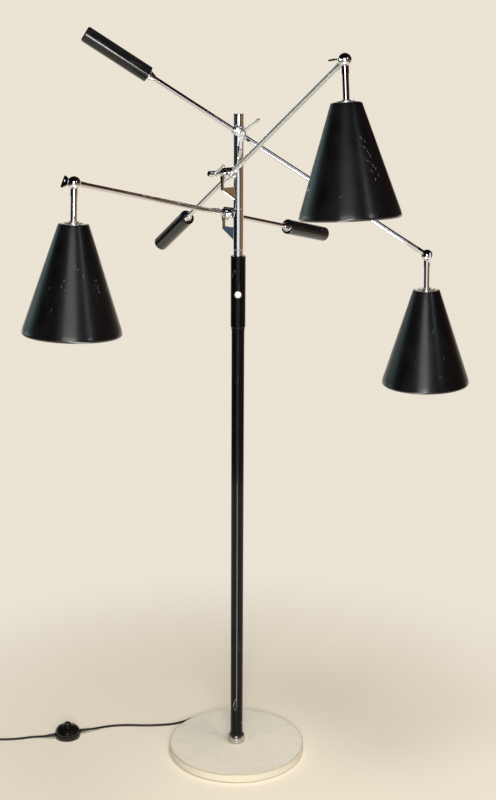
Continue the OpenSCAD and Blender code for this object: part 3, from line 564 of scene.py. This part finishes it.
def low_room(f, x, y, z):
    """The room below eye level, by direction: dim with a blue screen at the left, pale ahead,
    brown at the right, and a dark beam between those two. Behind and below is the backdrop."""
    screen = f.band(0 - x, (0.935, 0.95), (0.975, 0.985))
    left = f.tint(screen, NEAR_BLACK, (0.07, 0.1, 0.14))
    right = f.tint(f.rise(x, 0.65, 0.68), left, (0.24, 0.155, 0.085))
    ahead = f.tint(f.rise(0 - y, 0.88, 0.9), right, WINDOW_PALE)
    beam = f.band(x, (0.36, 0.4), (0.58, 0.62)) * f.rise(0 - y, 0.0, 0.1) * f.rise(z, -0.15, -0.12)
    beamed = f.tint(beam, ahead, (0.006, 0.005, 0.006))
    level = f.tint(f.rise(y, 0.57, 0.67), beamed, BACKDROP)
    return f.tint(f.rise(0 - z, 0.42, 0.5), level, BACKDROP)


def floor_finish():
    """Pale floor that takes the lamp's shadow, and turns into the plain backdrop further off.

    Reflections also show a bright slit straight ahead on it, which draws the line on the stem."""
    f = Finish("studio_floor")
    x, y, z = f.axes(f.place())
    away = f.sum("SQRT", x * x + y * y)
    seen = ray_kinds(f, "Is Camera Ray", "Is Glossy Ray", "Is Transmission Ray")
    matt = f.add("ShaderNodeBsdfDiffuse", values={"Color": colour((0.8, 0.73, 0.6))})
    ahead = f.rise(f.sum("DIVIDE", 0 - y, away), 0.99, 0.994)
    slit = ray_kinds(f, "Is Glossy Ray") * ahead * f.rise(away, 0.2, 0.24)
    distant = f.tint(slit, BACKDROP, (15, 15, 14.6))
    plain = f.add("ShaderNodeEmission", values={"Color": distant, "Strength": 1.0})
    share = f.sum("MAXIMUM", f.rise(away, 0.25, 1.1) * seen, slit)
    mixed = f.add("ShaderNodeMixShader", values={0: share, 1: matt, 2: plain})
    f.add("ShaderNodeOutputMaterial", values={"Surface": mixed})
    return f.material


def light_world():
    """The plain backdrop for the camera, and the dimmer room that metal and paint reflect."""
    scene.world = bpy.data.worlds.new("studio")
    f = Finish("studio", scene.world)
    x, y, z = f.axes(f.add("ShaderNodeTexCoord"))
    level = f.sum("SQRT", x * x + y * y)
    right = f.tint(f.rise(x, 0.5, 0.8), (0.003, 0.003, 0.004), (0.04, 0.01, 0.013))
    at_left = f.rise(0 - x, 0.2, 0.75) * f.rise(y, -0.1, 0.6)
    window = at_left * f.band(z, (0.0, 0.08), (0.1, 0.32))
    high = f.tint(window, right, (0.8, 1.1, 1.1))
    wall = f.rise(y, 0.9, 0.97) * (1 - f.rise(z, 0.6, 0.85))
    low = low_room(f, f.sum("DIVIDE", x, level), f.sum("DIVIDE", y, level), z)
    behind = f.tint(f.rise(z, -0.06, 0.0), low, f.tint(wall, high, BACKDROP))
    seen = ray_kinds(f, "Is Camera Ray", "Is Transmission Ray")
    light = f.add("ShaderNodeBackground", values={"Color": f.tint(seen, behind, BACKDROP)})
    f.add("ShaderNodeOutputWorld", values={"Surface": light})


def add_softbox(name, place, aim_height, size, power, tone, in_reflections=True):
    """A soft light, turned to a point on the lamp's axis."""
    lamp = bpy.data.lights.new(name, "AREA")
    lamp.shape = "RECTANGLE"
    lamp.size, lamp.size_y = size
    lamp.energy = power
    lamp.color = tone
    box = bpy.data.objects.new(name, lamp)
    scene.collection.objects.link(box)
    box.location = place
    box.rotation_mode = "QUATERNION"
    box.rotation_quaternion = (Vector(place) - Vector((0, 0, aim_height))).to_track_quat("Z", "Y")
    box.visible_glossy = in_reflections


# Making pieces

def new_piece(name, points, edges, faces):
    """A piece on the bench, in millimetres, selected alone."""
    mesh = bpy.data.meshes.new(name)
    mesh.from_pydata([MM * Vector(p) for p in points], edges, faces)
    piece = bpy.data.objects.new(name, mesh)
    scene.collection.objects.link(piece)
    bpy.ops.object.select_all(action="DESELECT")
    piece.select_set(True)
    bpy.context.view_layer.objects.active = piece
    return piece


def turned(name, profile, steps=96, closed=False):
    """A piece turned about Z from a profile of radius and height."""
    count = len(profile)
    edges = [(i, i + 1) for i in range(count - 1)] + ([(count - 1, 0)] if closed else [])
    piece = new_piece(name, [(r, 0, z) for r, z in profile], edges, [])
    bpy.ops.object.mode_set(mode="EDIT")
    bpy.ops.mesh.select_all(action="SELECT")
    bpy.ops.mesh.spin(steps=steps, angle=2 * math.pi, center=(0, 0, 0), axis=(0, 0, 1))
    bpy.ops.mesh.select_all(action="SELECT")
    bpy.ops.mesh.remove_doubles(threshold=0.01 * MM)
    bpy.ops.mesh.normals_make_consistent(inside=False)
    bpy.ops.object.mode_set(mode="OBJECT")
    return piece


def swept(name, line, radii, sides=12, placed=None):
    """A tube along a line, with level sides, that remembers each point as if it lay straight."""
    points, straight = [], []
    run = 0
    last = len(line) - 1
    for i, p in enumerate(line):
        ahead = (line[min(i + 1, last)] - line[max(i - 1, 0)]).normalized()
        side = Vector((0, 0, 1)).cross(ahead).normalized()
        up = ahead.cross(side)
        run += (p - line[max(i - 1, 0)]).length
        r = radii[i] if isinstance(radii, list) else radii
        for k in range(sides):
            a = 2 * math.pi * (k + 0.5) / sides
            points.append(p + r * (math.cos(a) * side + math.sin(a) * up))
            straight.append((r * math.cos(a) * MM, r * math.sin(a) * MM, run * MM))
    faces = [tuple(range(sides - 1, -1, -1)), tuple(range(last * sides, (last + 1) * sides))]
    for i in range(last):
        for k in range(sides):
            n = (k + 1) % sides
            faces.append((i * sides + k, i * sides + n, (i + 1) * sides + n, (i + 1) * sides + k))
    piece = new_piece(name, points, [], faces)
    remember(piece, straight)
    finish_shape(piece, placed)
    return piece


def remember(piece, places=None):
    """Keeps where each point is on the bench, for the finishes that follow the piece."""
    held = piece.data.attributes.new(OWN_PLACE, "FLOAT_VECTOR", "POINT")
    if places is None:
        places = [point.co for point in piece.data.vertices]
    held.data.foreach_set("vector", [value for place in places for value in place])


def finish_shape(piece, placed=None, smooth=40):
    """Smooths the rounded faces and puts the piece in its place in the lamp."""
    if OWN_PLACE not in piece.data.attributes:
        remember(piece)
    bpy.ops.object.shade_smooth_by_angle(angle=math.radians(smooth))
    if placed is not None:
        piece.data.transform(placed)


def break_edges(piece, width):
    """Rounds the sharp edges of the piece that is selected."""
    edges = piece.modifiers.new("edges", "BEVEL")
    edges.width = width * MM
    edges.segments = 2
    edges.limit_method = "ANGLE"
    bpy.ops.object.modifier_apply(modifier="edges")


def fit(piece, body, finish, replaced=()):
    """Says which body a piece rides on, its finish and the CAD nodes it stands for."""
    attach(piece, body)
    if finish is not None:
        piece.data.materials.append(finish)
    if replaced:
        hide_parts(*replaced)


def arc(centre, r, first, last, steps):
    """Points of an arc in a profile, between two angles in degrees."""
    angles = [math.radians(first + (last - first) * k / steps) for k in range(steps + 1)]
    return [(centre[0] + r * math.cos(a), centre[1] + r * math.sin(a)) for a in angles]


# Cords

def between(p, i, t):
    """A point on the smooth line through the places of a route."""
    a, b, c, d = (Vector(p[k]) for k in (max(i - 1, 0), i, i + 1, min(i + 2, len(p) - 1)))
    line = 2 * b + (c - a) * t + (2 * a - 5 * b + 4 * c - d) * t * t
    return 0.5 * (line + (3 * b - a - 3 * c + d) * t ** 3)


def runs_along(line):
    """How far along a line each of its points is."""
    runs = [0]
    for a, b in zip(line, line[1:]):
        runs.append(runs[-1] + (b - a).length)
    return runs


def smooth_route(places, steps=4):
    line = [between(places, i, k / steps) for i in range(len(places) - 1) for k in range(steps)]
    return line + [Vector(places[-1])]


def eased(line, step=2.0, passes=60):
    """The same line in even steps, with its bends eased and both its ends left straight."""
    runs = runs_along(line)
    count = round(runs[-1] / step)
    even, k = [], 0
    for i in range(count + 1):
        at = runs[-1] * i / count
        while k < len(runs) - 2 and runs[k + 1] < at:
            k += 1
        part = (at - runs[k]) / (runs[k + 1] - runs[k])
        even.append(line[k].lerp(line[k + 1], min(part, 1)))
    for _ in range(passes):
        even = [
            p if i < 2 or i > count - 2 else p.lerp((even[i - 1] + even[i + 1]) / 2, 0.5)
            for i, p in enumerate(even)
        ]
    return even


def coil_point(turn):
    """A point on the coil: inwards on the lower layer, up a step halfway, outwards on the upper."""
    middle = COIL_TURNS / 2
    inward = min(turn, COIL_TURNS - turn, middle - 0.125)
    climb = min(max((turn - middle + 0.25) / 0.5, 0), 1)
    angle = math.radians(COIL_START + 360 * turn)
    r = COIL_R - COIL_PITCH * inward
    height = COIL_LOW + COIL_PITCH * climb * climb * (3 - 2 * climb)
    return Vector((*COIL_CENTRE, height)) + r * Vector((math.cos(angle), math.sin(angle), 0))


def coil_out():
    """The way the cord leaves the coil."""
    angle = math.radians(COIL_START + 360 * COIL_TURNS)
    return Vector((-math.sin(angle), math.cos(angle), 0))


def coil_line():
    last = round(COIL_TURNS * COIL_STEPS)
    turns = [coil_point(k / COIL_STEPS) for k in range(last + 1)]
    return [coil_point(0) + Vector((COIL_IN, 0, 0)), *turns, plug_place()]


def plug_place():
    return coil_point(COIL_TURNS) + PLUG_TAIL * coil_out()


def add_cord(name, replaced, line, with_pieces):
    cord = swept(name, line, CORD_FIT * CORD_D / 2)
    fit(cord, "root", finishes["cord_jacket"], replaced)
    points = [MM * p for p in line]
    sum((a - b).length for a, b in zip(points, points[1:]))


def add_relief(name, cord_line, narrow, wide=4.2, ribs=6):
    """Tapered ribbed sleeve on the first stretch of a cord."""
    line = first_stretch(cord_line, RELIEF_L, RELIEF_STEPS)
    runs = runs_along(line)
    radii = []
    for run in runs:
        part = run / runs[-1]
        wave = 0.5 - 0.5 * math.cos(2 * math.pi * ribs * part)
        groove = RIB_DEPTH * wave if 0.12 < part < 0.9 else 0
        radii.append(wide + (narrow - wide) * part - groove)
    relief = swept(name, line, radii, 16)
    fit(relief, "root", finishes["relief_rubber"])
    return relief


def first_stretch(line, length, steps):
    """Points at even steps along the start of a line."""
    points, left = [line[0]], length / steps
    at, i = line[0], 1
    while len(points) <= steps and i < len(line):
        gap = (line[i] - at).length
        if gap < left:
            at, left, i = line[i], left - gap, i + 1
        else:
            at = at + (line[i] - at) * (left / gap)
            points.append(at)
            left = length / steps
    return points


def add_cords():
    from_base = eased(smooth_route(ROUTE_BASE))
    to_coil = eased(smooth_route(ROUTE_COIL))
    base_relief = add_relief("base_strain_relief", from_base, 2.85)
    near_relief = add_relief("switch_relief_near", from_base[::-1], 2.9)
    far_relief = add_relief("switch_relief_far", to_coil, 2.9)
    add_cord(
        "cord_from_base", ["cord_to_switch"], from_base,
        [nodes["foot_switch_body"], nodes["foot_switch_button"], base_relief, near_relief],
    )
    add_cord(
        "cord_from_switch", ["cord_to_coil", "cord_coil"], to_coil[:-1] + coil_line(),
        [far_relief, *add_plug(), *add_coil_tie()],
    )


def add_plug():
    """Moulded plug with a ribbed tail and two bright blades."""
    placed = Matrix.Translation(MM * plug_place())
    placed = placed @ Vector((0, 0, 1)).rotation_difference(coil_out()).to_matrix().to_4x4()
    placed = placed @ Matrix.Rotation(math.pi / 2, 4, "Z")
    end = PLUG_RELIEF + PLUG_BODY
    ribs = []
    for k in range(PLUG_RIBS):
        wide = 3.7 + 0.35 * k
        low = PLUG_RIB_STEP * k
        ribs += [(wide - 0.5, low + 0.4), (wide + 0.6, low + 0.9), (wide + 0.9, low + 1.3)]
        ribs += [(wide + 0.9, low + 2.5), (wide + 0.6, low + 2.9), (wide - 0.4, low + 3.3)]
    shoulder = [(5.6, PLUG_RELIEF - 1), (7.2, PLUG_RELIEF + 2.5), (8.2, PLUG_RELIEF + 6)]
    waist = [(PLUG_R - 0.2, PLUG_RELIEF + 10), (PLUG_R, PLUG_RELIEF + 14), (PLUG_R, end - 5.4)]
    groove = [(PLUG_R - 0.3, end - 5), (PLUG_R - 0.9, end - 4.6), (PLUG_R - 0.9, end - 4)]
    face = [(PLUG_R - 0.3, end - 3.6), (PLUG_R - 0.3, end - 1), (PLUG_R - 0.9, end - 0.3)]
    face += [(PLUG_R - 1.6, end), (0, end)]
    body = turned("plug_body", [(0, 0), (3, 0), *ribs, *shoulder, *waist, *groove, *face], 64)
    finish_shape(body, placed)
    fit(body, "root", finishes["plug_rubber"], ["plug"])
    blades = []
    for number, side in (("1", -BLADE_SIDE), ("2", BLADE_SIDE)):
        blade = new_blade(f"plug_blade_{number}", side, end)
        finish_shape(blade, placed, 30)
        fit(blade, "root", finishes["blade_brass"])
        blades.append(blade)
    return [body, *blades]


def new_blade(name, side, base):
    """A flat blade with rounded corners and a hole near its tip."""
    bpy.ops.object.select_all(action="DESELECT")
    middle = base + BLADE_L / 2 - 1
    bpy.ops.mesh.primitive_cube_add(size=1, location=(0, side * MM, middle * MM))
    blade = bpy.context.object
    blade.name = blade.data.name = name
    blade.dimensions = (BLADE_W * MM, BLADE_T * MM, (BLADE_L + 2) * MM)
    bpy.ops.object.transform_apply(location=True, rotation=True, scale=True)
    bpy.ops.mesh.primitive_cylinder_add(
        vertices=24, radius=BLADE_HOLE_R * MM, depth=6 * MM, rotation=(math.pi / 2, 0, 0),
        location=(0, side * MM, (base + BLADE_L - BLADE_HOLE_IN) * MM),
    )
    drill = bpy.context.object
    bpy.ops.object.select_all(action="DESELECT")
    blade.select_set(True)
    bpy.context.view_layer.objects.active = blade
    hole = blade.modifiers.new("hole", "BOOLEAN")
    hole.object = drill
    bpy.ops.object.modifier_apply(modifier="hole")
    break_edges(blade, 0.4)
    bpy.data.objects.remove(drill)
    return blade


def add_coil_tie():
    """Flat tie round the bundle of turns, its two ends twisted together."""
    placed = Matrix.Translation((COIL_CENTRE[0] * MM, COIL_CENTRE[1] * MM, 0))
    placed = placed @ Matrix.Rotation(math.radians(TIE_TURN), 4, "Z")
    placed = placed @ Matrix.Rotation(math.pi / 2, 4, "X")
    half = TIE_THICK / 2
    low = COIL_LOW - CORD_D / 2 - TIE_ROOM - half
    high = COIL_LOW + COIL_PITCH + CORD_D / 2 + TIE_ROOM + half
    inner = COIL_R - COIL_PITCH * (COIL_TURNS / 2 - 0.1) - CORD_D / 2 - 2 * TIE_ROOM - half
    outer = COIL_R + CORD_D / 2 - COIL_PITCH * 0.4 + half
    r = TIE_CORNER_R
    outline = arc((outer - r, high - r), r, 0, 90, 6) + arc((inner + r, high - r), r, 90, 180, 6)
    outline += arc((inner + r, low + r), r, 180, 270, 6) + arc((outer - r, low + r), r, 270, 360, 6)
    count = len(outline)
    middle = Vector(((inner + outer) / 2, (low + high) / 2))
    points = []
    for x, y in outline:
        out = (Vector((x, y)) - middle).normalized() * half
        for way, ends in ((1, (-TIE_HALF_W, TIE_HALF_W)), (-1, (TIE_HALF_W, -TIE_HALF_W))):
            points += [(x + way * out.x, y + way * out.y, end) for end in ends]
    faces = []
    for i in range(count):
        here, there = 4 * i, 4 * ((i + 1) % count)
        for k in range(4):
            n = (k + 1) % 4
            faces.append((here + k, here + n, there + n, there + k))
    band = new_piece("coil_tie_band", points, [], faces)
    bpy.ops.object.mode_set(mode="EDIT")
    bpy.ops.mesh.select_all(action="SELECT")
    bpy.ops.mesh.normals_make_consistent(inside=False)
    bpy.ops.object.mode_set(mode="OBJECT")
    break_edges(band, 0.2)
    finish_shape(band, placed)
    fit(band, "root", finishes["tie_grey"], ["coil_tie"])
    ends = []
    for number, start in (("1", 0), ("2", math.pi)):
        line = []
        for k in range(TWIST_STEPS + 1):
            a = start + 2 * math.pi * TWIST_TURNS * k / TWIST_STEPS
            spread = 0.75 + (1.6 * ((k - 40) / 8) ** 2 if k > 40 else 0)
            side, up = spread * math.sin(a), spread * math.cos(a)
            line.append(Vector((outer + 0.7 + 0.33 * k, 6 + side, up)))
        end = swept(f"coil_tie_end_{number}", line, 0.55, 8, placed)
        fit(end, "root", finishes["tie_grey"])
        ends.append(end)
    return [band, *ends]


# Arms and shades

def arm_place(arm):
    """The arm's pivot, with Z along the rod towards the knuckle."""
    turn = Matrix.Rotation(math.radians(ARM_AZIMUTH[arm]), 4, "Z")
    lean = Matrix.Rotation(math.radians(90 - ARM_TILT[arm]), 4, "Y")
    return Matrix.Translation(joints[f"arm_{arm}_tilt"]["pos_m"]) @ turn @ lean


def shade_place(arm):
    """The knuckle's centre, with Z up the shade's axis and X away from the stem."""
    turn = Matrix.Rotation(math.radians(ARM_AZIMUTH[arm]), 4, "Z")
    lean = Matrix.Rotation(math.radians(-SHADE_LEAN[arm]), 4, "Y")
    return Matrix.Translation(joints[f"head_{arm}_tilt"]["pos_m"]) @ turn @ lean


def shade_to_front(arm):
    """As shade_place, but turned so that -Y is the front, where the scratches are counted from."""
    return shade_place(arm) @ Matrix.Rotation(math.radians(-ARM_AZIMUTH[arm]), 4, "Z")


def shade_profile():
    """Closed section of the spun shade: flat top, small shoulder, straight side, hem rolled in."""
    top = -DROP_L
    bore = DROP_D / 2 + 0.05
    r = SHADE_D / 2
    top_r = SHADE_TOP_D / 2
    side = math.degrees(math.atan2(r - top_r, SHADE_H - SHADE_RIM_R))
    hem = (r - SHADE_RIM_R, top - SHADE_H + SHADE_RIM_R)
    shoulder = (top_r - SHOULDER_R, top - SHOULDER_R)
    first = arc(shoulder, SHOULDER_R, side, side, 1)[0]
    last = arc(hem, SHADE_RIM_R, side, side, 1)[0]
    cone = []
    for k in range(1, CONE_STEPS):
        cone.append(tuple(a + (b - a) * k / CONE_STEPS for a, b in zip(first, last)))
    outer = [(bore, top), (14, top), *arc(shoulder, SHOULDER_R, 90, side, 6), *cone]
    outer += arc(hem, SHADE_RIM_R, side, -78, 14)
    inner = arc(hem, SHADE_RIM_R - SHADE_WALL, -78, side, 10)
    inside = [(x - 1.05 * SHADE_WALL, z) for x, z in cone[::-1]]
    inner += [*inside, (top_r - 1.6, top - SHADE_WALL - 1), (top_r - 2.6, top - SHADE_WALL)]
    return [*outer, *inner, (14, top - SHADE_WALL), (bore, top - SHADE_WALL)]


def add_shade(arm):
    shade = turned(f"spun_shade_{arm}", shade_profile(), 144, closed=True)
    shade.data.materials.append(finishes[f"shade_paint_{arm}"])
    shade.data.materials.append(finishes["shade_lining"])
    under_top = -(DROP_L + 0.4 * SHADE_WALL + 3) * MM
    for face in shade.data.polygons:
        outwards = face.normal.dot(Vector((face.center.x, face.center.y, 0)).normalized())
        under = face.normal.z < -0.7 and face.center.z > under_top and outwards <= 0.2
        face.material_index = 1 if outwards < -0.2 or under else 0
    finish_shape(shade, shade_to_front(arm), 35)
    fit(shade, f"head_{arm}", None, [f"shade_{arm}"])


def add_socket(arm):
    """Threaded brass shell in the lampholder, with its centre contact."""
    mouth = -DROP_L - SHADE_WALL - HOLDER_L
    r = SOCKET_D / 2 - 0.1
    depth = SOCKET_DEPTH - 1
    profile = [(r, mouth + 0.4), (r - 0.3, mouth + 0.4)]
    for k in range(THREAD_STEPS + 1):
        z = mouth + 1 + (depth - 2) * k / THREAD_STEPS
        profile.append((r - 0.75 + 0.45 * math.sin(2 * math.pi * (z - mouth) / THREAD_PITCH), z))
    profile += [(r - 0.5, mouth + depth), (r, mouth + depth)]
    shell = turned(f"socket_shell_{arm}", profile, 72, closed=True)
    finish_shape(shell, shade_to_front(arm))
    fit(shell, f"head_{arm}", finishes["socket_brass"])
    floor_z = mouth + SOCKET_DEPTH
    steps = [(0, 0), (9.5, 0), (9.5, 1), (6.2, 1.4), (5.4, 2.6), (4.2, 3.4), (2.2, 3.8), (0, 3.9)]
    contact = turned(f"socket_contact_{arm}", [(r, floor_z - down) for r, down in steps], 48)
    finish_shape(contact, shade_to_front(arm))
    fit(contact, f"head_{arm}", finishes["socket_brass"])


# Finishes

finishes = {}


def make_finishes():
    brass_bright, brass_dull = (0.62, 0.47, 0.22), (0.36, 0.25, 0.11)
    finishes.update({
        "stone": polished_stone(),
        "felt": felt_cloth(),
        "steel": worn_metal("zinc_steel", (0.55, 0.54, 0.5), (0.3, 0.28, 0.25), 0.3),
        "nylon": nylon(),
        "chrome": chrome("chrome"),
        # The foot collar's plating is darker than the other chrome all over: painted shade, for the
        # darker reflections and contact shadow round its foot
        "foot_collar": worn_metal(
            "foot_collar_shaded_plating", (0.62, 0.61, 0.6), (0.34, 0.32, 0.28), 0.1
        ),
        "black_tube": black_enamel(),
        "pale_cap": worn_metal("cap_aluminium", (0.82, 0.8, 0.77), (0.7, 0.67, 0.62), 0.16),
        "lampholder": moulded_black("lampholder_phenolic", 0.26, 0.01),
        "switch_black": moulded_black("switch_phenolic", 0.13, 0.004),
        "button_white": aged_white("button_plastic", (0.74, 0.69, 0.64), (0.66, 0.6, 0.52), 0.3),
        "cord_black": moulded_black("gland_rubber", 0.5, 0.018),
        "cord_jacket": cord_jacket(),
        "relief_rubber": moulded_black("relief_rubber", 0.46, 0.016),
        "plug_rubber": moulded_black("plug_rubber", 0.42, 0.015),
        "tie_grey": moulded_black("tie_plastic", 0.4, 0.1),
        "shade_lining": shade_lining(),
        "socket_brass": worn_metal("socket_brass", brass_bright, brass_dull, 0.24, own=True),
        "blade_brass": worn_metal("blade_brass", (0.7, 0.6, 0.36), brass_dull, 0.2, own=True),
    })
    for arm in ARMS:
        along = arm_place(arm)
        finishes[f"chrome_{arm}"] = chrome(f"chrome_arm_{arm}", along)
        finishes[f"handle_{arm}"] = handle_plastic(f"handle_plastic_{arm}", along)
        finishes[f"shade_paint_{arm}"] = shade_paint(arm)


def finish_frame():
    """Gives every CAD node its finish: its arm's, its own, or else its slot's."""
    for name, node in nodes.items():
        slot = node.data.materials[0].name
        arm = name[-1]
        if name.startswith(("rod_", "ferrule_", "knuckle_arm_half_")):
            chosen = finishes[f"chrome_{arm}"]
        elif slot == "black_handle":
            chosen = finishes[f"handle_{arm}"]
        elif slot == "black_shade":
            chosen = finishes[f"shade_paint_{arm}"]
        else:
            chosen = finishes.get(name) or finishes[slot]
        node.data.materials[0] = chosen


bpy.ops.object.select_all(action="DESELECT")
add_camera()
make_finishes()
add_cords()
add_stage()
for arm in ARMS:
    add_shade(arm)
    add_socket(arm)
finish_frame()
